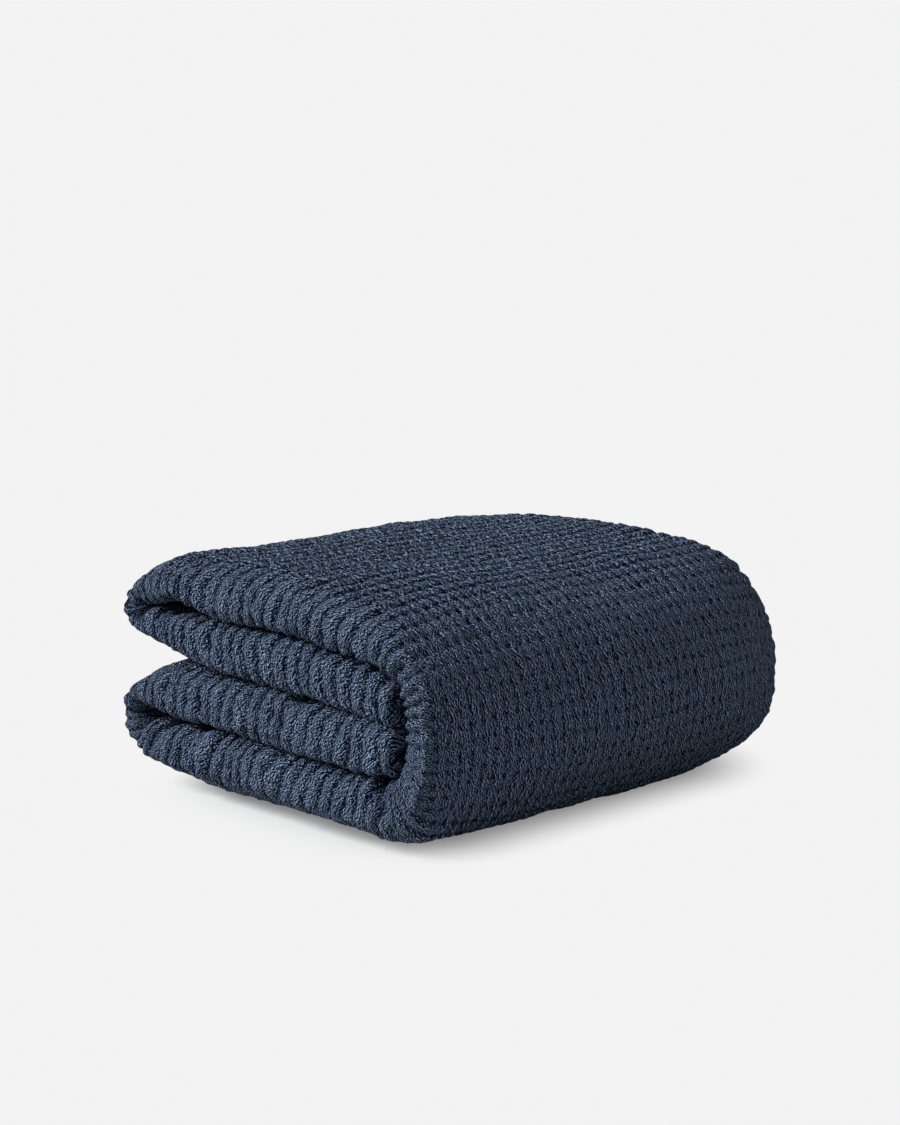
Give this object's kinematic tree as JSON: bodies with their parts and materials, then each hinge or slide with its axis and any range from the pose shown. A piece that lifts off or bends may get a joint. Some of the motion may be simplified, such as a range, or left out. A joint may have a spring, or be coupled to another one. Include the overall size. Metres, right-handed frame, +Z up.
{
  "type": "comforter",
  "caption": "Navy waffle comforter, both ends turned in and the whole folded in half into a thick soft pile",
  "frame": {"origin": "centre of the pile's footprint, on the surface it lies on", "axes": "+X along the folded back, with the layered end at -X; -Y is the rounded back and +Y the side with the two turned-in folds; +Z up"},
  "size_m": [0.571, 0.5488, 0.2732],
  "materials": {
    "fabric": "matte navy waffle weave with a soft brushed pile"
  },
  "bodies": {
    "root": {"comforter": "fabric"}
  },
  "joints": []
}
